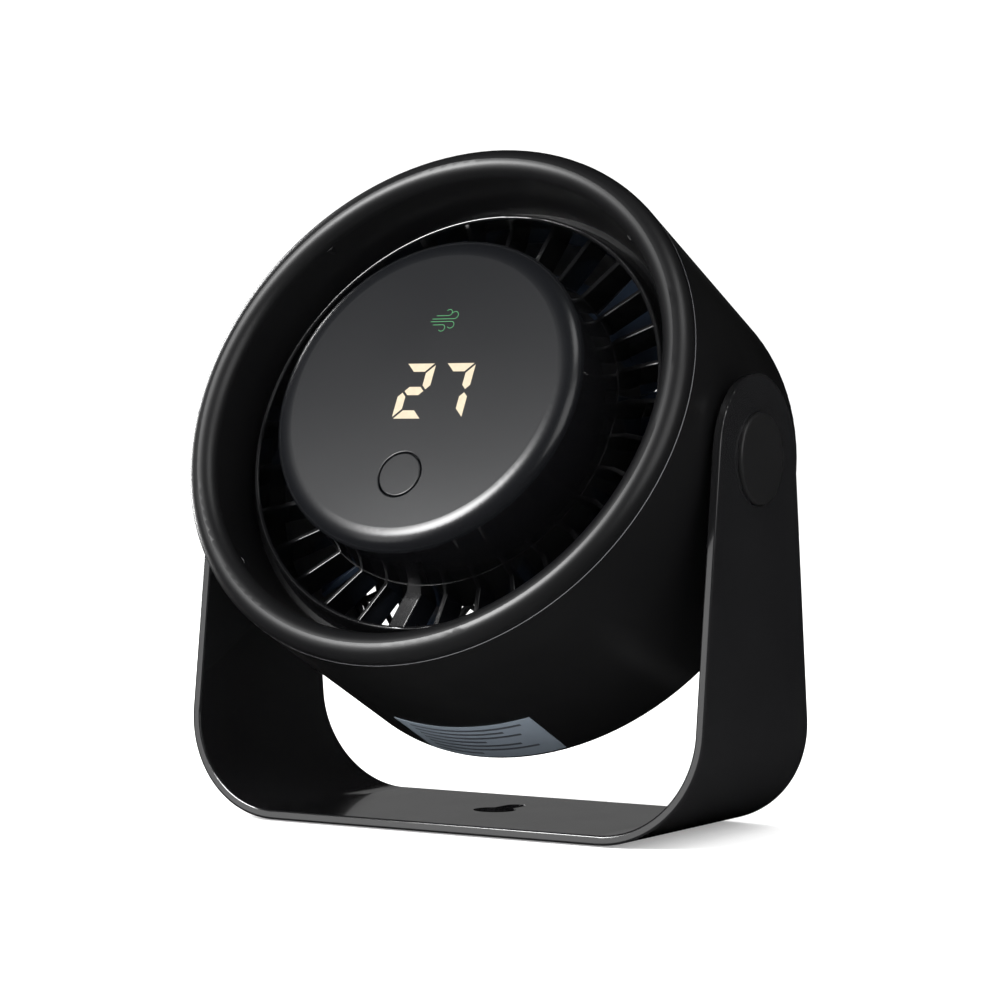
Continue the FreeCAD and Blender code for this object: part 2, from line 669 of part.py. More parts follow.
def board_screws():
    """Four screws that hold the display board to the posts."""
    shank = rod(1.0, BOARD_REAR - 5, BOARD_FRONT + 0.3, POST_RING, 0)
    head = rod(1.9, BOARD_FRONT, BOARD_FRONT + 1.3, POST_RING, 0)
    return Part.makeCompound(around(joined([shank, head]), DIAGONALS))


def hub_screws():
    """Four screws from behind the hub's floor into the housing's posts."""
    shank = rod(SCREW_CORE, HUB_FLOOR - 0.5, HUB_FLOOR_FRONT + 8, POST_RING, 0)
    head = rod(SCREW_HEAD_RADIUS, HUB_FLOOR - SCREW_HEAD, HUB_FLOOR, POST_RING, 0)
    return Part.makeCompound(around(joined([shank, head]), DIAGONALS))


def cell_level():
    """Height of the battery cells' axes."""
    return HUB_FLOOR_FRONT + 1.6 + CELL_RADIUS


def cell_rows():
    """Where each cell lies, across the hub."""
    pitch = 2 * CELL_RADIUS + 0.5
    return [(index - (CELL_COUNT - 1) / 2) * pitch for index in range(CELL_COUNT)]


def battery_cells():
    """Round cells lying side by side in the hub."""
    cells = []
    for y in cell_rows():
        start = Vector(-CELL_LENGTH / 2, y, cell_level())
        can = Part.makeCylinder(CELL_RADIUS, CELL_LENGTH - 1, start, X_AXIS)
        button = Part.makeCylinder(3.0, 1.5, start + Vector(CELL_LENGTH - 1.5, 0, 0), X_AXIS)
        cells.append(joined([can, button]))
    return Part.makeCompound(cells)


def battery_tray():
    """Cradle that the cells lie in, on the hub's floor, with a channel for the motor lead."""
    rows = cell_rows()
    reach = rows[-1] + CELL_RADIUS - 3
    half = CELL_LENGTH / 2 - 4
    tray = block(-half, half, -reach, reach, HUB_FLOOR_FRONT, cell_level() - 2)
    side = MOTOR_LEAD_RADIUS + SCREW_GAP
    top = HUB_FLOOR_FRONT + 2 * side
    cuts = [block(MOTOR_LEAD_DROP - side, half + 1, -side, side, HUB_FLOOR_FRONT - 1, top)]
    for y in rows:
        start = Vector(-CELL_LENGTH, y, cell_level())
        cuts.append(Part.makeCylinder(CELL_RADIUS + FIT_GAP, 2 * CELL_LENGTH, start, X_AXIS))
    return tray.cut(cuts)


def main_board_rear():
    """Rear face of the main board, clear of the cells."""
    return cell_level() + CELL_RADIUS + 0.6


def main_board():
    """Charging and control board in front of the cells, on four standoffs."""
    half_w, half_h = MAIN_BOARD_WIDTH / 2, MAIN_BOARD_HEIGHT / 2
    low = main_board_rear()
    return block(-half_w, half_w, -half_h, half_h, low, low + BOARD)


def board_standoffs():
    """Four standoffs between the hub's floor and the main board."""
    y = MAIN_BOARD_HEIGHT / 2 - STANDOFF_RADIUS
    posts = [rod(STANDOFF_RADIUS, HUB_FLOOR_FRONT, main_board_rear(), side * 22, end * y)
             for side in (-1, 1) for end in (-1, 1)]
    return Part.makeCompound(posts)


# ---- head: motor ----
def motor_base():
    """Round plate with the bearing tube, screwed behind the hub's floor."""
    front = HUB_FLOOR
    plate = rod(BASE_PLATE_RADIUS, front - BASE_PLATE, front)
    sleeve = rod(BEARING_RADIUS + TUBE_WALL, STATOR_REAR, front - BASE_PLATE + 0.5)
    whole = joined([plate, sleeve])
    bore = rod(SHAFT_RADIUS + 1, STATOR_REAR - 1, front + 1)
    front_seat = rod(BEARING_RADIUS, STATOR_FRONT - BEARING_WIDTH, front + 1)
    rear_seat = rod(BEARING_RADIUS, STATOR_REAR - 1, STATOR_REAR + BEARING_WIDTH)
    screw = rod(SCREW_CORE + SCREW_GAP, front - BASE_PLATE - 1, front + 1, BASE_PLATE_RADIUS - 4, 0)
    return whole.cut([bore, front_seat, rear_seat] + around(screw, MOTOR_SCREW_ANGLES)
                     + [floor_slot(MOTOR_LEAD_DROP, MOTOR_LEAD_RADIUS)])


def motor_bearings():
    """Two bearings in the tube."""
    bore = SHAFT_RADIUS + RUN_GAP / 2
    front = tube(bore, BEARING_RADIUS, STATOR_FRONT - BEARING_WIDTH, STATOR_FRONT)
    rear = tube(bore, BEARING_RADIUS, STATOR_REAR, STATOR_REAR + BEARING_WIDTH)
    return Part.makeCompound([front, rear])


def motor_stator():
    """Toothed stator core on the bearing tube."""
    inner = BEARING_RADIUS + TUBE_WALL
    core = tube(inner, inner + 2.5, STATOR_REAR + 2, STATOR_FRONT - 1)
    tooth = block(inner + 1, STATOR_RADIUS - 2, -1.6, 1.6, STATOR_REAR + 2, STATOR_FRONT - 1)
    teeth = around(tooth, range(0, 360, 40))
    shoe_ring = tube(STATOR_RADIUS - 2.2, STATOR_RADIUS, STATOR_REAR + 2, STATOR_FRONT - 1)
    slot = block(STATOR_RADIUS - 3, STATOR_RADIUS + 1, -0.8, 0.8, STATOR_REAR, STATOR_FRONT)
    shoes = shoe_ring.cut(around(slot, range(20, 380, 40)))
    return joined([core, shoes] + teeth)


def motor_windings():
    """A coil round each stator tooth."""
    inner = BEARING_RADIUS + TUBE_WALL + 2.7
    outer = STATOR_RADIUS - 3.0
    high = STATOR_FRONT + 0.2
    low = STATOR_REAR + 0.8
    coil = block(inner, outer, -2.7, 2.7, low, high)
    tooth = block(inner - 1, outer + 1, -1.6, 1.6, STATOR_REAR + 2, STATOR_FRONT - 1)
    return Part.makeCompound(around(coil.cut(tooth), range(0, 360, 40)))


def driver_level():
    """Rear face of the driver board, clear of the rotor."""
    return ROTOR_FRONT + 0.6


def driver_board():
    """Ring-shaped motor driver board in front of the stator."""
    level = driver_level()
    return tube(BEARING_RADIUS + TUBE_WALL, ROTOR_RADIUS - 4, level, level + BOARD)


def motor_screws():
    """Three screws that hold the motor base to the hub's floor."""
    low = HUB_FLOOR - BASE_PLATE
    shank = rod(SCREW_CORE, low - 0.5, HUB_FLOOR_FRONT, BASE_PLATE_RADIUS - 4, 0)
    head = rod(SCREW_HEAD_RADIUS, low - SCREW_HEAD, low, BASE_PLATE_RADIUS - 4, 0)
    return Part.makeCompound(around(joined([shank, head]), MOTOR_SCREW_ANGLES))


def rotor_bell():
    """Steel bell that turns round the stator."""
    wall = tube(ROTOR_RADIUS - ROTOR_WALL, ROTOR_RADIUS, ROTOR_REAR, ROTOR_FRONT)
    end = tube(SHAFT_RADIUS, ROTOR_RADIUS, ROTOR_REAR, ROTOR_REAR + ROTOR_WALL)
    return joined([wall, end])


def rotor_magnet():
    """Magnet ring inside the bell."""
    outer = ROTOR_RADIUS - ROTOR_WALL
    return tube(outer - MAGNET_THICK, outer, ROTOR_REAR + 3, ROTOR_FRONT - 1)


def motor_shaft():
    """Shaft through both bearings, the bell and the impeller's hub."""
    return rod(SHAFT_RADIUS, SHAFT_REAR, STATOR_FRONT + 1)


def impeller_nut():
    """Nut that holds the impeller on the shaft."""
    side = 3.6
    points = [Vector(side * math.cos(math.radians(a)), side * math.sin(math.radians(a)), 0)
              for a in range(0, 360, 60)]
    face = Part.Face(Part.makePolygon(points + points[:1]))
    nut = face.extrude(Vector(0, 0, 2.2)).translated(Vector(0, 0, IMPELLER_REAR - 2.2))
    return nut.cut(rod(SHAFT_RADIUS, SHAFT_REAR - 1, IMPELLER_REAR + 1))


# ---- head: impeller ----
def impeller_hub():
    """Hollow cone with a sleeve over the rotor bell and a rear end wall."""
    wall = IMPELLER_WALL
    cone = turned([
        (IMPELLER_HUB_REAR, IMPELLER_REAR),
        (IMPELLER_HUB_FRONT, IMPELLER_FRONT),
        (IMPELLER_HUB_FRONT - wall, IMPELLER_FRONT),
        (IMPELLER_HUB_REAR - wall, IMPELLER_REAR),
    ])
    end = tube(SHAFT_RADIUS, IMPELLER_HUB_REAR - wall / 2, IMPELLER_REAR, IMPELLER_REAR + wall)
    sleeve = tube(ROTOR_RADIUS, ROTOR_RADIUS + wall, IMPELLER_REAR + wall / 2, ROTOR_FRONT - 2)
    collar = tube(SHAFT_RADIUS, SHAFT_RADIUS + 4, IMPELLER_REAR + wall / 2, ROTOR_REAR)
    return [cone, end, sleeve, collar]


def blade_section(radius, stagger):
    """Closed outline of a blade section at one radius, turned by its stagger."""
    middle = (IMPELLER_FRONT + IMPELLER_REAR) / 2
    half_chord = BLADE_CHORD / 2
    half_thick = BLADE_THICK / 2
    turn = math.radians(stagger)
    corners = []
    for along, across in ((-1, -1), (1, -1), (1, 1), (-1, 1)):
        x = along * half_chord
        y = across * half_thick
        tangent = x * math.sin(turn) - y * math.cos(turn)
        height = x * math.cos(turn) + y * math.sin(turn)
        corners.append(Vector(radius, tangent, middle + height))
    return Part.makePolygon(corners + corners[:1])


def blade():
    """One twisted blade, trimmed to the tip radius and the impeller's depth."""
    root = blade_section(IMPELLER_HUB_REAR - IMPELLER_WALL / 2, 34)
    tip = blade_section(BLADE_TIP + 6, 56)
    loft = Part.makeLoft([root, tip], True, True)
    limits = rod(BLADE_TIP, IMPELLER_REAR, IMPELLER_FRONT - 1)
    inside = turned([(0, IMPELLER_REAR - 1),
                     (IMPELLER_HUB_REAR - IMPELLER_WALL / 2, IMPELLER_REAR - 1),
                     (IMPELLER_HUB_FRONT - IMPELLER_WALL / 2, IMPELLER_FRONT + 1),
                     (0, IMPELLER_FRONT + 1)])
    return loft.common(limits).cut(inside)


def impeller():
    """Hub and blades in one moulding."""
    step = 360.0 / BLADE_COUNT
    blades = around(blade(), [BLADE_PHASE + index * step for index in range(BLADE_COUNT)])
    return joined(impeller_hub() + blades)


# ---- head: rear ----
def air_shroud():
    """Ring wall round the impeller, with a front flange and rear screw posts."""
    rear = GRILLE_FRONT
    wall = tube(THROAT_RADIUS + 0.3, GUARD_WALL, rear, SHROUD_FRONT)
    flange = tube(THROAT_RADIUS + 0.3, DRUM_INNER - FIT_GAP, SHROUD_FRONT - SHROUD_FLANGE, SHROUD_FRONT)
    post = rod(BOSS_TUBE, DRUM_REAR + WALL, DRUM_REAR + WALL + 14, SCREW_RING, 0)
    web = block(GUARD_WALL - 0.8, SCREW_RING, -0.9, 0.9, rear, rear + 10)
    whole = joined([wall, flange] + around(post, DIAGONALS) + around(web, DIAGONALS))
    front_hole = rod(SCREW_CORE + SCREW_GAP, SHROUD_FRONT - 4, SHROUD_FRONT + 1, SCREW_RING, 0)
    pilot = rod(SCREW_CORE, DRUM_REAR + WALL - 1, DRUM_REAR + WALL + 10, SCREW_RING, 0)
    lead = rod(LEAD_RADIUS + 0.6, SHROUD_FRONT - 4, SHROUD_FRONT + 1, SCREW_RING, 0)
    boss = side_rod(BOSS_RADIUS + SLIP_GAP, GUARD_WALL + 1, HEAD_RADIUS)
    cuts = around(front_hole, DIAGONALS) + around(pilot, DIAGONALS)
    return whole.cut(cuts + [spin(lead, DUCT_ANGLE), boss, mirrored(boss)])


def bezel_screws():
    """Four screws through the shroud's flange into the bezel's bosses."""
    low = SHROUD_FRONT - SHROUD_FLANGE
    shank = rod(SCREW_CORE, low - 0.5, SHROUD_FRONT + 8, SCREW_RING, 0)
    head = rod(SCREW_HEAD_RADIUS, low - SCREW_HEAD, low, SCREW_RING, 0)
    return Part.makeCompound(around(joined([shank, head]), DIAGONALS))


def rear_screws():
    """Four screws through the drum's rear flange into the shroud's posts."""
    seat = DRUM_REAR + WALL / 2
    shank = rod(SCREW_CORE, seat - 0.5, seat + 10, SCREW_RING, 0)
    head = rod(SCREW_HEAD_RADIUS, seat - WALL / 2, seat, SCREW_RING, 0)
    cross = [block(SCREW_RING - 1.6, SCREW_RING + 1.6, -0.3, 0.3, DRUM_REAR - 1, DRUM_REAR + 0.6),
             block(SCREW_RING - 0.3, SCREW_RING + 0.3, -1.6, 1.6, DRUM_REAR - 1, DRUM_REAR + 0.6)]
    screw = joined([shank, head]).cut(cross)
    return Part.makeCompound(around(screw, DIAGONALS))


def grille_radii():
    """Radii of the rear grille's rings, from the centre disc outwards."""
    count = int((GRILLE_OPENING - 4 - GRILLE_BOSS) / GRILLE_PITCH)
    return [GRILLE_BOSS + GRILLE_PITCH * (index + 1) for index in range(count)]


def rear_grille():
    """Round intake grille: centre disc, rings, spokes and a seat behind the flange."""
    low = DRUM_REAR
    high = DRUM_REAR + GRILLE_THICK
    frame = tube(GRILLE_OPENING - 4, GRILLE_OPENING - FIT_GAP, low, GRILLE_FRONT)
    seat_radius = SCREW_RING - BOSS_TUBE - FIT_GAP
    seat = tube(GRILLE_OPENING - 4, seat_radius, DRUM_REAR + WALL, GRILLE_FRONT)
    disc = rod(GRILLE_BOSS, low, high)
    rings = [tube(radius - GRILLE_BAR / 2, radius + GRILLE_BAR / 2, low + 0.4, high)
             for radius in grille_radii()]
    spoke = block(GRILLE_BOSS - 1, GRILLE_OPENING - 2, -GRILLE_BAR / 2, GRILLE_BAR / 2, low + 0.4, high)
    spokes = around(spoke, [index * 360.0 / GRILLE_SPOKES for index in range(GRILLE_SPOKES)])
    return joined([frame, seat, disc] + rings + spokes)


def socket_body(grow, low, high):
    """Rounded outline of the charging socket, on the screw ring at angle zero."""
    half_w = SOCKET_WIDTH / 2 + grow
    half_h = SOCKET_HEIGHT / 2 + grow
    middle = block(SCREW_RING - half_h, SCREW_RING + half_h, -half_w + half_h, half_w - half_h, low, high)
    ends = [rod(half_h, low, high, SCREW_RING, side * (half_w - half_h)) for side in (-1, 1)]
    return joined([middle] + ends)


def charging_socket():
    """Metal shell of the charging socket with its tongue."""
    rear = DRUM_REAR + 0.3
    front = rear + SOCKET_LENGTH
    shell = socket_body(0, rear, front).cut(socket_body(-SOCKET_WALL, rear - 1, front - 1))
    tongue = block(SCREW_RING - 0.35, SCREW_RING + 0.35, -3.2, 3.2, rear + 1.2, front - 0.5)
    return spin(joined([shell, tongue]), DUCT_ANGLE)


def socket_board():
    """Small board that the socket is soldered to."""
    outer = SCREW_RING + SOCKET_HEIGHT / 2
    board = block(outer, outer + 1.0, -7, 7, DRUM_REAR + WALL + 0.4, SOCKET_BOARD_FRONT + 3)
    return spin(board, DUCT_ANGLE)


def lead_along(corners, radius):
    """A round lead along straight runs, with a bend at every corner between them."""
    edges = []
    start = corners[0]
    for before, corner, after in zip(corners, corners[1:], corners[2:]):
        back = (before - corner).normalize() * LEAD_BEND
        ahead = (after - corner).normalize() * LEAD_BEND
        middle = corner + (back + ahead) * (1 - math.sqrt(0.5))
        edges.append(Part.makeLine(start, corner + back))
        edges.append(Part.Arc(corner + back, middle, corner + ahead).toShape())
        start = corner + ahead
    edges.append(Part.makeLine(start, corners[-1]))
    direction = corners[1] - corners[0]
    section = Part.Wire([Part.makeCircle(radius, corners[0], direction)])
    return Part.Wire(edges).makePipeShell([section], True, False)


def power_lead():
    """Lead from the main board, through the wide vane and along the drum to the socket."""
    lead = lead_along([
        Vector(LEAD_DROP, 0, main_board_rear()),
        Vector(LEAD_DROP, 0, LEAD_LEVEL),
        Vector(SCREW_RING, 0, LEAD_LEVEL),
        Vector(SCREW_RING, 0, SOCKET_BOARD_FRONT),
    ], LEAD_RADIUS)
    return spin(lead, DUCT_ANGLE)


def motor_lead():
    """Lead from the driver board, through the hub's floor, under the cells to the main board."""
    level = HUB_FLOOR_FRONT + MOTOR_LEAD_RADIUS + FIT_GAP
    side = CELL_LENGTH / 2 + MOTOR_LEAD_RADIUS + 2
    top = main_board_rear() + BOARD / 2
    return lead_along([
        Vector(MOTOR_LEAD_DROP, 0, driver_level() + BOARD),
        Vector(MOTOR_LEAD_DROP, 0, level),
        Vector(side, 0, level),
        Vector(side, 0, top),
        Vector(MAIN_BOARD_WIDTH / 2, 0, top),
    ], MOTOR_LEAD_RADIUS)


def rating_label():
    """Thin label wrapped round the underside of the drum."""
    rear = LABEL_FRONT - LABEL_LENGTH
    outline = [(HEAD_RADIUS, rear), (HEAD_RADIUS + LABEL_THICK, rear),
               (HEAD_RADIUS + LABEL_THICK, LABEL_FRONT), (HEAD_RADIUS, LABEL_FRONT)]
    points = [Vector(r, 0, h) for r, h in outline]
    face = Part.Face(Part.makePolygon(points + points[:1]))
    return spin(face.revolve(HERE, Z_AXIS, LABEL_SPAN), LABEL_ANGLE - LABEL_SPAN / 2)


# ---- all the nodes ----
STAND_NODES = {
    "stand_bracket": stand_bracket,
    "foot_pads": foot_pads,
}
SIDE_NODES_STAND = {
    "pivot_bush": pivot_bush,
    "pivot_cap": pivot_cap,
}
SIDE_NODES_HEAD = {
    "pivot_stud": pivot_stud,
    "pivot_insert": pivot_insert,
    "friction_washer": friction_washer,
}
HEAD_NODES = {
    "drum_shell": drum_shell,
    "front_bezel": front_bezel,
    "front_guard": front_guard,
    "guard_rim": guard_rim,
    "hub_housing": hub_housing,
    "display_cover": display_cover,
    "power_button": power_button,
    "switch_plunger": switch_plunger,
    "push_switch": push_switch,
    "display_board": display_board,
    "display_module": display_module,
    "icon_lamp": icon_lamp,
    "board_screws": board_screws,
    "hub_screws": hub_screws,
    "battery_cells": battery_cells,
    "battery_tray": battery_tray,
    "main_board": main_board,
    "board_standoffs": board_standoffs,
    "motor_base": motor_base,
    "motor_bearings": motor_bearings,
    "motor_stator": motor_stator,
    "motor_windings": motor_windings,
    "driver_board": driver_board,
    "motor_screws": motor_screws,
    "rotor_bell": rotor_bell,
    "rotor_magnet": rotor_magnet,
    "motor_shaft": motor_shaft,
    "impeller_nut": impeller_nut,
    "impeller": impeller,
    "air_shroud": air_shroud,
    "bezel_screws": bezel_screws,
    "rear_screws": rear_screws,
    "rear_grille": rear_grille,
    "charging_socket": charging_socket,
    "socket_board": socket_board,
    "power_lead": power_lead,
    "motor_lead": motor_lead,
    "rating_label": rating_label,
}


def save(name, shape):
    """Write one node, after making sure that it is a sound solid."""
    if not shape.isValid() or shape.Volume <= 0:
        raise ValueError(name + " is not a valid solid")
    shape.exportStep(os.path.join("parts", name + ".step"))


def main():
    os.makedirs("parts", exist_ok=True)
    for name, make in STAND_NODES.items():
        save(name, make())
    for name, make in SIDE_NODES_STAND.items():
        save(name + "_right", at_pivot(make()))
        save(name + "_left", at_pivot(mirrored(make())))
    for name, make in SIDE_NODES_HEAD.items():
        save(name + "_right", place_head(make()))
        save(name + "_left", place_head(mirrored(make())))
    for name, make in HEAD_NODES.items():
        save(name, place_head(make()))


main()
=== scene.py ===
"""Desk fan: finish, lit display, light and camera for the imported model."""
import json
import math

import bmesh
import bpy
from mathutils import Matrix, Vector


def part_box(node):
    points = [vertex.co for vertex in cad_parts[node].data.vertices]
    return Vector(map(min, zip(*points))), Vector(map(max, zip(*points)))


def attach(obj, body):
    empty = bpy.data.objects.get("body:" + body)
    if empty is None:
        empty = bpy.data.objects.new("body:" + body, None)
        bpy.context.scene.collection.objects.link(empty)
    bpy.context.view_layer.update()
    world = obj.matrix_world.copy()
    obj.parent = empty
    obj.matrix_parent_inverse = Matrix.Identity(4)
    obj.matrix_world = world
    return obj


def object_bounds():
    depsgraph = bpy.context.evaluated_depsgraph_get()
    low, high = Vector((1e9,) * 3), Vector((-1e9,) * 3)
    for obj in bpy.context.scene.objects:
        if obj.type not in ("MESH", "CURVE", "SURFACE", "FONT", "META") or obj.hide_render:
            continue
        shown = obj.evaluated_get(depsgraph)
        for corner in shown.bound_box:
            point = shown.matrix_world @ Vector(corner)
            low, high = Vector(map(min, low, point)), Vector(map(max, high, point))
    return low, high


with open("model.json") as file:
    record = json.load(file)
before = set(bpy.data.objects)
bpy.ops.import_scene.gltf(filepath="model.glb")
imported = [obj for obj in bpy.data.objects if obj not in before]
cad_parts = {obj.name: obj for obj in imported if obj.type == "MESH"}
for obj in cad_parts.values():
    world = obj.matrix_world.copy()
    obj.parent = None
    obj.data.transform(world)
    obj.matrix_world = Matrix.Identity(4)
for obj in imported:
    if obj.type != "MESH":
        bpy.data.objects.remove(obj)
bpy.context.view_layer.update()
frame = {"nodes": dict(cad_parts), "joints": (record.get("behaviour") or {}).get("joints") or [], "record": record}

# ---- the head's own frame, from the record's joints ----
TILT = next(j for j in frame["joints"] if j["name"] == "head_tilt")
SPIN = next(j for j in frame["joints"] if j["name"] == "impeller_spin")
PIVOT = Vector(TILT["pos_m"])
FAN_AXIS = Vector(SPIN["axis"]).normalized()
RIGHT = Vector((1, 0, 0))
UP = FAN_AXIS.cross(RIGHT).normalized()
HEAD = Matrix((
    (RIGHT.x, UP.x, FAN_AXIS.x, PIVOT.x),
    (RIGHT.y, UP.y, FAN_AXIS.y, PIVOT.y),
    (RIGHT.z, UP.z, FAN_AXIS.z, PIVOT.z),
    (0, 0, 0, 1),
))
MM = 0.001


def along_fan(node):
    """Lowest and highest place of a node's points along the fan's axis, from the pivot."""
    reach = [(v.co - PIVOT).dot(FAN_AXIS) for v in frame["nodes"][node].data.vertices]
    return min(reach), max(reach)


# ---- node materials ----
class Nodes:
    """A small helper that builds one material's node tree."""

    def __init__(self, name):
        self.material = bpy.data.materials.new(name)
        self.material.use_nodes = True
        self.tree = self.material.node_tree
        self.tree.nodes.clear()
        self.output = self.add("ShaderNodeOutputMaterial")
        self.shader = self.add("ShaderNodeBsdfPrincipled")
        self.link(self.shader.outputs["BSDF"], self.output.inputs["Surface"])

    def add(self, kind, **settings):
        node = self.tree.nodes.new(kind)
        for name, value in settings.items():
            setattr(node, name, value)
        return node

    def link(self, source, target):
        self.tree.links.new(source, target)

    def place(self):
        return self.add("ShaderNodeTexCoord").outputs["Object"]

    def noise(self, scale, detail=2.0, source=None, rough=0.5):
        node = self.add("ShaderNodeTexNoise")
        node.inputs["Scale"].default_value = scale
        node.inputs["Detail"].default_value = detail
        node.inputs["Roughness"].default_value = rough
        self.link(source or self.place(), node.inputs["Vector"])
        return node.outputs["Fac"]

    def spread(self, source, low, high, start=0.2, end=0.8):
        node = self.add("ShaderNodeMapRange", interpolation_type="SMOOTHSTEP")
        node.inputs["From Min"].default_value = start
        node.inputs["From Max"].default_value = end
        node.inputs["To Min"].default_value = low
        node.inputs["To Max"].default_value = high
        self.link(source, node.inputs["Value"])
        return node.outputs["Result"]

    def colours(self, source, dark, light):
        node = self.add("ShaderNodeValToRGB")
        node.color_ramp.interpolation = "EASE"
        node.color_ramp.elements[0].position = 0.2
        node.color_ramp.elements[1].position = 0.8
        node.color_ramp.elements[0].color = (*dark, 1)
        node.color_ramp.elements[1].color = (*light, 1)
        self.link(source, node.inputs["Fac"])
        return node.outputs["Color"]

    def bump(self, source, strength, depth, before=None):
        node = self.add("ShaderNodeBump")
        node.inputs["Strength"].default_value = strength
        node.inputs["Distance"].default_value = depth
        self.link(source, node.inputs["Height"])
        if before is not None:
            self.link(before, node.inputs["Normal"])
        return node.outputs["Normal"]

    def worn_edge(self, radius):
        """Rounds sharp edges in the shading."""
        node = self.add("ShaderNodeBevel", samples=6)
        node.inputs["Radius"].default_value = radius
        return node.outputs["Normal"]


def shade(name, dark, light, rough, grain=900.0, grain_depth=0.00002, grain_strength=0.12,
          metallic=0.0, coat=0.0, coat_rough=0.08, edge=0.0, blotch=14.0, specular=0.5):
    """Plastic, rubber, card or metal with uneven colour and gloss and a fine surface grain."""
    n = Nodes(name)
    shader = n.shader.inputs
    n.link(n.colours(n.noise(blotch, 2.0), dark, light), shader["Base Color"])
    n.link(n.spread(n.noise(blotch * 3, 2.0), rough[0], rough[1]), shader["Roughness"])
    normal = n.worn_edge(edge) if edge else None
    fine = n.bump(n.noise(grain, 3.0), grain_strength, grain_depth, normal)
    n.link(fine, shader["Normal"])
    shader["Metallic"].default_value = metallic
    shader["Specular IOR Level"].default_value = specular
    shader["Coat Weight"].default_value = coat
    shader["Coat Roughness"].default_value = coat_rough
    return n.material


def brushed(name, dark, light, rough):
    """Bare metal with fine lines."""
    n = Nodes(name)
    shader = n.shader.inputs
    stretch = n.add("ShaderNodeMapping")
    stretch.inputs["Scale"].default_value = (1, 1, 30)
    n.link(n.place(), stretch.inputs["Vector"])
    lines = n.noise(260.0, 6.0, stretch.outputs["Vector"])
    n.link(n.colours(lines, dark, light), shader["Base Color"])
    n.link(n.spread(lines, rough[0], rough[1]), shader["Roughness"])
    n.link(n.bump(lines, 0.15, 0.00003), shader["Normal"])
    shader["Metallic"].default_value = 1.0
    return n.material


def lamp(name, colour, strength):
    """Lit plastic behind a dark cover: the light varies a little with its grain."""
    n = Nodes(name)
    shader = n.shader.inputs
    n.link(n.colours(n.noise(40.0), (0.01, 0.01, 0.01), (0.02, 0.02, 0.02)), shader["Base Color"])
    shader["Emission Color"].default_value = (*colour, 1)
    n.link(n.spread(n.noise(500.0, 2.0), strength * 0.92, strength * 1.05), shader["Emission Strength"])
    shader["Roughness"].default_value = 0.4
    return n.material


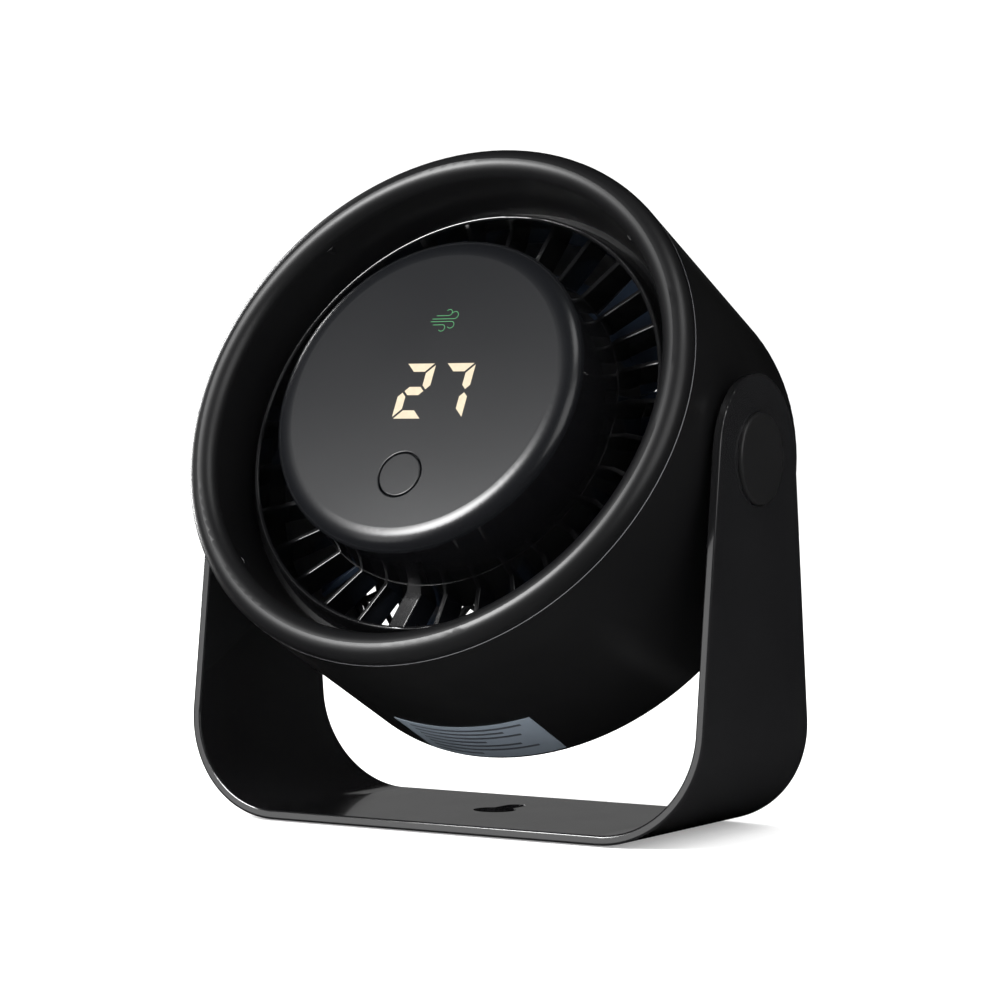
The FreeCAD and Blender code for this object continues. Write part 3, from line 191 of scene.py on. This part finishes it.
MATERIALS = {
    "stand_gloss_black": shade("stand gloss black", (0.007, 0.007, 0.0075), (0.010, 0.010, 0.0105),
                               (0.10, 0.16), grain=700.0, grain_strength=0.05, coat=0.6,
                               coat_rough=0.05, edge=0.0003),
    "casing_satin_black": shade("casing satin black", (0.005, 0.005, 0.0055), (0.007, 0.007, 0.0075),
                                (0.39, 0.45), grain=1500.0, grain_strength=0.12, edge=0.0003),
    "bezel_satin_black": shade("bezel satin black", (0.004, 0.004, 0.0045), (0.006, 0.006, 0.0065),
                               (0.35, 0.39), grain=1500.0, grain_strength=0.12, edge=0.0002),
    "guard_gloss_black": shade("guard gloss black", (0.004, 0.004, 0.0045), (0.006, 0.006, 0.0065),
                               (0.12, 0.18), grain=900.0, grain_strength=0.08, coat=0.4, edge=0.0002),
    "hub_gloss_black": shade("hub gloss black", (0.003, 0.003, 0.0035), (0.005, 0.005, 0.0055),
                             (0.06, 0.10), grain=600.0, grain_strength=0.03, coat=0.6,
                             coat_rough=0.04, edge=0.0002),
    "cover_satin_black": shade("cover satin black", (0.0042, 0.0045, 0.0055), (0.0055, 0.006, 0.007),
                               (0.24, 0.26), grain=2400.0, grain_strength=0.05, edge=0.0002, blotch=5.0),
    "button_satin_black": shade("button satin black", (0.0042, 0.0045, 0.0055), (0.0055, 0.006, 0.007),
                                (0.24, 0.26), grain=2400.0, grain_strength=0.05, edge=0.0002, blotch=5.0),
    "impeller_dark_blue": shade("impeller dark blue", (0.010, 0.017, 0.030), (0.016, 0.026, 0.045),
                                (0.28, 0.36), grain=900.0, edge=0.0003),
    "shroud_black": shade("shroud black", (0.012, 0.012, 0.012), (0.018, 0.018, 0.018),
                          (0.45, 0.6), grain=1200.0, grain_strength=0.3),
    "grille_black": shade("grille black", (0.012, 0.012, 0.013), (0.018, 0.018, 0.018),
                          (0.3, 0.4), grain=1200.0, grain_strength=0.2, edge=0.0003),
    "cap_satin_black": shade("cap satin black", (0.009, 0.009, 0.0095), (0.012, 0.012, 0.0125),
                             (0.34, 0.40), grain=1500.0, grain_strength=0.1, edge=0.0004),
    "pad_rubber": shade("pad rubber", (0.018, 0.018, 0.018), (0.03, 0.03, 0.03),
                        (0.75, 0.9), grain=1500.0, grain_strength=0.5),
    "bush_nylon": shade("bush nylon", (0.62, 0.60, 0.55), (0.7, 0.69, 0.64), (0.4, 0.5)),
    "washer_nylon": shade("washer nylon", (0.03, 0.03, 0.03), (0.04, 0.04, 0.04), (0.45, 0.55)),
    "steel": brushed("steel", (0.42, 0.42, 0.44), (0.56, 0.56, 0.58), (0.24, 0.36)),
    "screw_black_steel": shade("black steel", (0.02, 0.02, 0.022), (0.035, 0.035, 0.037),
                               (0.28, 0.4), metallic=0.8),
    "brass": brushed("brass", (0.55, 0.38, 0.14), (0.68, 0.50, 0.22), (0.22, 0.34)),
    "copper": brushed("copper wire", (0.45, 0.17, 0.08), (0.62, 0.26, 0.13), (0.25, 0.4)),
    "core_steel": brushed("core steel", (0.22, 0.22, 0.23), (0.33, 0.33, 0.35), (0.35, 0.5)),
    "magnet": shade("magnet", (0.05, 0.05, 0.055), (0.08, 0.08, 0.085), (0.5, 0.7)),
    "board_green": shade("board green", (0.008, 0.06, 0.022), (0.014, 0.09, 0.035), (0.25, 0.4),
                         blotch=60.0),
    "cell_wrap": shade("cell wrap", (0.02, 0.12, 0.24), (0.03, 0.16, 0.3), (0.2, 0.3)),
    "tray_grey": shade("tray grey", (0.09, 0.09, 0.095), (0.12, 0.12, 0.125), (0.5, 0.6)),
    "display_black": shade("display black", (0.01, 0.01, 0.01), (0.014, 0.014, 0.014), (0.15, 0.2)),
    "switch_black": shade("switch black", (0.015, 0.015, 0.015), (0.02, 0.02, 0.02), (0.4, 0.5)),
    "lead_black": shade("lead black", (0.01, 0.01, 0.01), (0.015, 0.015, 0.015), (0.45, 0.55)),
    "socket_steel": brushed("socket steel", (0.45, 0.45, 0.47), (0.6, 0.6, 0.62), (0.2, 0.3)),
    "label_silver": shade("label silver", (0.20, 0.24, 0.28), (0.25, 0.29, 0.34), (0.35, 0.45),
                          metallic=0.2, grain=1200.0),
}

for part in frame["record"]["subparts"]:
    obj = frame["nodes"][part["node"]]
    obj.data.materials.clear()
    name = "cap_satin_black" if part["node"].startswith("pivot_cap") else part["material_slot"]
    obj.data.materials.append(MATERIALS[name])

# ---- lit number and symbol on the display cover ----
FACE = along_fan("display_cover")[1]
INLAY = 0.00004          # how far the lit shapes stand above the face
DIGIT_HEIGHT = 20.2 * MM
DIGIT_WIDTH = 11.5 * MM
DIGIT_BASE = -10.9 * MM
DIGIT_LEAN = math.radians(-1.0)
STROKE = 3.0 * MM
SEGMENTS = {"2": "abged", "7": "abc"}

GLOW = lamp("number light", (1.0, 0.84, 0.58), 0.92)
GREEN = lamp("symbol light", (0.05, 0.58, 0.16), 0.6)


def add_to_head(name, mesh, material):
    """Makes a piece of the finished mesh, which moves with the head."""
    bmesh.ops.recalc_face_normals(mesh, faces=mesh.faces)
    data = bpy.data.meshes.new(name)
    mesh.to_mesh(data)
    mesh.free()
    obj = bpy.data.objects.new(name, data)
    bpy.context.scene.collection.objects.link(obj)
    data.materials.append(material)
    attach(obj, "head")


def flat_piece(name, outlines, material, level, thick=0.00003):
    """Thin shapes parallel to the fan's face, given as outlines in the head's frame."""
    mesh = bmesh.new()
    for outline in outlines:
        front = [mesh.verts.new(HEAD @ Vector((x, y, level + thick))) for x, y in outline]
        back = [mesh.verts.new(HEAD @ Vector((x, y, level))) for x, y in outline]
        mesh.faces.new(front)
        mesh.faces.new(back[::-1])
        for i in range(len(outline)):
            j = (i + 1) % len(outline)
            mesh.faces.new((front[i], back[i], back[j], front[j]))
    add_to_head(name, mesh, material)


def segment(letter):
    """Outline of one bar of a seven-bar digit, in a box of the digit's size."""
    w, h, t = DIGIT_WIDTH, DIGIT_HEIGHT, STROKE
    gap = t * 0.2
    half = t / 2
    middle = h / 2
    top = [(gap, h), (w - gap, h), (w - t - gap, h - t), (t + gap, h - t)]
    foot = [(x, h - y) for x, y in top]
    centre = [(half + gap, middle), (t + gap, middle + half), (w - t - gap, middle + half),
              (w - half - gap, middle), (w - t - gap, middle - half), (t + gap, middle - half)]
    upper = [(w, h - gap), (w - t, h - t - gap), (w - t, middle + half + gap),
             (w - half, middle + gap), (w, middle + half + gap)]
    lower = [(x, h - y) for x, y in upper]
    bars = {"a": top, "d": foot, "g": centre, "b": upper, "c": lower,
            "f": [(w - x, y) for x, y in upper], "e": [(w - x, y) for x, y in lower]}
    return bars[letter]


def digit(text, left):
    """Bars of one digit, with the left edge of its foot at the given place."""
    lean = math.tan(DIGIT_LEAN)
    shapes = []
    for letter in SEGMENTS[text]:
        shapes.append([(left + x - y * lean, DIGIT_BASE + y) for x, y in segment(letter)])
    return shapes


FIRST_LEFT = -8.75 * MM
SECOND_LEFT = 6.6 * MM
number = digit("2", FIRST_LEFT) + digit("7", SECOND_LEFT)
flat_piece("number_light", number, GLOW, FACE + INLAY)


def ribbon(points, width):
    """Outline of a line of even width along points."""
    left, right = [], []
    count = len(points)
    for i, (x, y) in enumerate(points):
        ax, ay = points[max(i - 1, 0)]
        bx, by = points[min(i + 1, count - 1)]
        size = math.hypot(bx - ax, by - ay)
        nx, ny = -(by - ay) / size * width / 2, (bx - ax) / size * width / 2
        left.append((x + nx, y + ny))
        right.append((x - nx, y - ny))
    return left + right[::-1]


def wind_line(x0, x1, y, radius, turn):
    """A straight breath of wind that curls over at its end."""
    points = [(x0 + (x1 - x0) * i / 6, y) for i in range(7)]
    for i in range(1, 15):
        a = -turn * math.pi / 2 + turn * math.radians(235) * i / 14
        points.append((x1 + radius * math.cos(a), y + turn * radius + radius * math.sin(a)))
    return points


SYMBOL_X, SYMBOL_Y = 1.8 * MM, 25.4 * MM
WIND_WIDTH = 0.24 * MM
WIND_LINES = (           # start, end, height, radius of the curl, and which way it curls
    (-3.4, 1.2, 1.7, 1.15, 1),
    (-4.8, 3.6, 0.5, 1.35, 1),
    (-5.2, 2.9, -0.5, 1.25, -1),
    (-4.0, -0.3, -1.7, 1.2, -1),
)
symbol = []
for x0, x1, y, radius, turn in WIND_LINES:
    line = wind_line(x0 * MM, x1 * MM, y * MM, radius * MM, turn)
    symbol.append(ribbon([(SYMBOL_X + x, SYMBOL_Y + y2) for x, y2 in line], WIND_WIDTH))


def strips(outlines):
    """Each curved outline as a row of four-sided shapes, which stay flat."""
    shapes = []
    for outline in outlines:
        half = len(outline) // 2
        left, right = outline[:half], outline[half:][::-1]
        for i in range(half - 1):
            shapes.append([left[i], left[i + 1], right[i + 1], right[i]])
    return shapes


flat_piece("wind_symbol_light", strips(symbol), GREEN, FACE + INLAY)

# ---- a painted highlight along the seam round the head, and plain rows on the label ----
def from_axis(node):
    """Largest distance of a node's points from the fan's axis."""
    return max((v.co - PIVOT).cross(FAN_AXIS).length for v in frame["nodes"][node].data.vertices)


def curved_piece(name, patches, radius, material, thick=0.00004):
    """Thin patches wrapped round the fan's axis, each from two angles and two places along it."""
    mesh = bmesh.new()
    for start, end, rear, front in patches:
        steps = max(2, math.ceil(abs(end - start) / 3.0))
        rings = []
        for i in range(steps + 1):
            a = math.radians(start + (end - start) * i / steps)
            corners = ((radius, rear), (radius, front), (radius + thick, front), (radius + thick, rear))
            rings.append([mesh.verts.new(HEAD @ Vector((r * math.cos(a), r * math.sin(a), z)))
                          for r, z in corners])
        for one, two in zip(rings, rings[1:]):
            for k in range(4):
                mesh.faces.new((one[k], one[(k + 1) % 4], two[(k + 1) % 4], two[k]))
        mesh.faces.new(rings[0])
        mesh.faces.new(rings[-1][::-1])
    add_to_head(name, mesh, material)


SEAM_REAR = along_fan("drum_shell")[1]
SEAM_WIDTH = 0.35 * MM
# Painted highlight: a light grey band laid in the seam between drum and bezel, standing in for light caught on the
# seam's edges.
SEAM_PAINTED_HIGHLIGHT = shade("painted seam highlight", (0.12, 0.12, 0.13), (0.16, 0.16, 0.17), (0.5, 0.6))
curved_piece("seam_painted_highlight", [(0, 180, SEAM_REAR, SEAM_REAR + SEAM_WIDTH),
                           (180, 360, SEAM_REAR, SEAM_REAR + SEAM_WIDTH)],
             from_axis("front_bezel"), SEAM_PAINTED_HIGHLIGHT, 0.00002)

LABEL_REAR, LABEL_FRONT = along_fan("rating_label")
LABEL_MIDDLE = -87.0     # degrees round the axis from the right-hand side
LABEL_ROWS = ((-13, 13), (-13, 8), (-13, 11), (-13, 2), (-13, 9), (-13, 12), (-13, -2))
LABEL_INK = shade("label print", (0.04, 0.045, 0.055), (0.06, 0.065, 0.075), (0.4, 0.5))
row_step = (LABEL_FRONT - LABEL_REAR) / (len(LABEL_ROWS) + 1)
rows = [(LABEL_MIDDLE + start, LABEL_MIDDLE + end, LABEL_FRONT - (i + 1.2) * row_step,
         LABEL_FRONT - (i + 0.8) * row_step) for i, (start, end) in enumerate(LABEL_ROWS)]
curved_piece("label_rows", rows, from_axis("rating_label") + 0.00001, LABEL_INK, 0.00003)

# ---- studio: pale floor, soft light ----
low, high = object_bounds()
SPAN = max(high[i] - low[i] for i in range(3))


def pale(name):
    """Matt white card."""
    n = Nodes(name)
    white = n.colours(n.noise(1.5, 2.0), (0.90, 0.90, 0.90), (0.92, 0.92, 0.92))
    n.link(white, n.shader.inputs["Base Color"])
    n.shader.inputs["Roughness"].default_value = 1.0
    n.shader.inputs["Specular IOR Level"].default_value = 0.0
    n.shader.inputs["Emission Color"].default_value = (1, 1, 1, 1)
    n.shader.inputs["Emission Strength"].default_value = 0.3
    return n.material


def sweep(name, half_width, profile):
    """A sheet of card along X, from a list of (y, z) points; not part of the object."""
    mesh = bmesh.new()
    rows = [[mesh.verts.new((x, y, z)) for x in (-half_width, half_width)] for y, z in profile]
    for a, b in zip(rows, rows[1:]):
        mesh.faces.new((a[0], a[1], b[1], b[0]))
    data = bpy.data.meshes.new(name)
    mesh.to_mesh(data)
    mesh.free()
    for polygon in data.polygons:
        polygon.use_smooth = True
    obj = bpy.data.objects.new(name, data)
    obj.visible_glossy = False
    data.materials.append(pale(name))
    bpy.context.scene.collection.objects.link(obj)
    return obj


FLOOR = low[2]
sweep("floor", 14 * SPAN, [(-14 * SPAN, FLOOR), (14 * SPAN, FLOOR)])
world = bpy.data.worlds.new("studio")
bpy.context.scene.world = world
world.use_nodes = True
world.node_tree.nodes["Background"].inputs["Color"].default_value = (1, 1, 1, 1)
world.node_tree.nodes["Background"].inputs["Strength"].default_value = 1.15
world.cycles_visibility.glossy = False

CENTRE = Vector([(low[i] + high[i]) / 2 for i in range(3)])


def soft_box(name, azimuth, elevation, distance, width, height, power):
    """A rectangular area light that faces the object. Azimuth 0 is in front, 90 to the right."""
    a, e = math.radians(azimuth), math.radians(elevation)
    way = Vector((math.sin(a) * math.cos(e), -math.cos(a) * math.cos(e), math.sin(e)))
    place = CENTRE + distance * way
    light = bpy.data.lights.new(name, "AREA")
    light.shape = "RECTANGLE"
    light.size, light.size_y = width, height
    light.energy = power
    obj = bpy.data.objects.new(name, light)
    obj.location = place
    obj.rotation_euler = (CENTRE - place).to_track_quat("-Z", "Y").to_euler()
    bpy.context.scene.collection.objects.link(obj)


soft_box("key light", -26, 27, 1.3, 0.42, 0.42, 19.0)
soft_box("left light", -108, 14, 1.3, 0.25, 0.8, 12.0)
soft_box("rear light", -149, 5, 2.6, 1.2, 0.7, 0.4)
soft_box("front light", -31, 3, 1.6, 0.5, 0.5, 1.4)
soft_box("side light", 62, 24, 1.5, 0.9, 0.9, 5.0)
soft_box("top light", 70, 60, 1.4, 0.5, 0.5, 2.5)

# ---- camera ----
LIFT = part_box("stand_bracket")[0][2]
EYE = Vector((0.53320, -0.88162, 0.12674 + LIFT))
TARGET = Vector((0.00192, 0.0, 0.10940 + LIFT))
camera = bpy.data.cameras.new("camera")
camera.lens = 108.3
camera.sensor_width = 36.0
camera_object = bpy.data.objects.new("camera", camera)
camera_object.location = EYE
turn = (TARGET - EYE).to_track_quat("-Z", "Y").to_matrix().to_4x4()
camera_object.matrix_world = Matrix.Translation(EYE) @ turn @ Matrix.Rotation(math.radians(0.212), 4, "Z")
bpy.context.scene.collection.objects.link(camera_object)
bpy.context.scene.camera = camera_object
bpy.context.scene.view_settings.view_transform = "Standard"
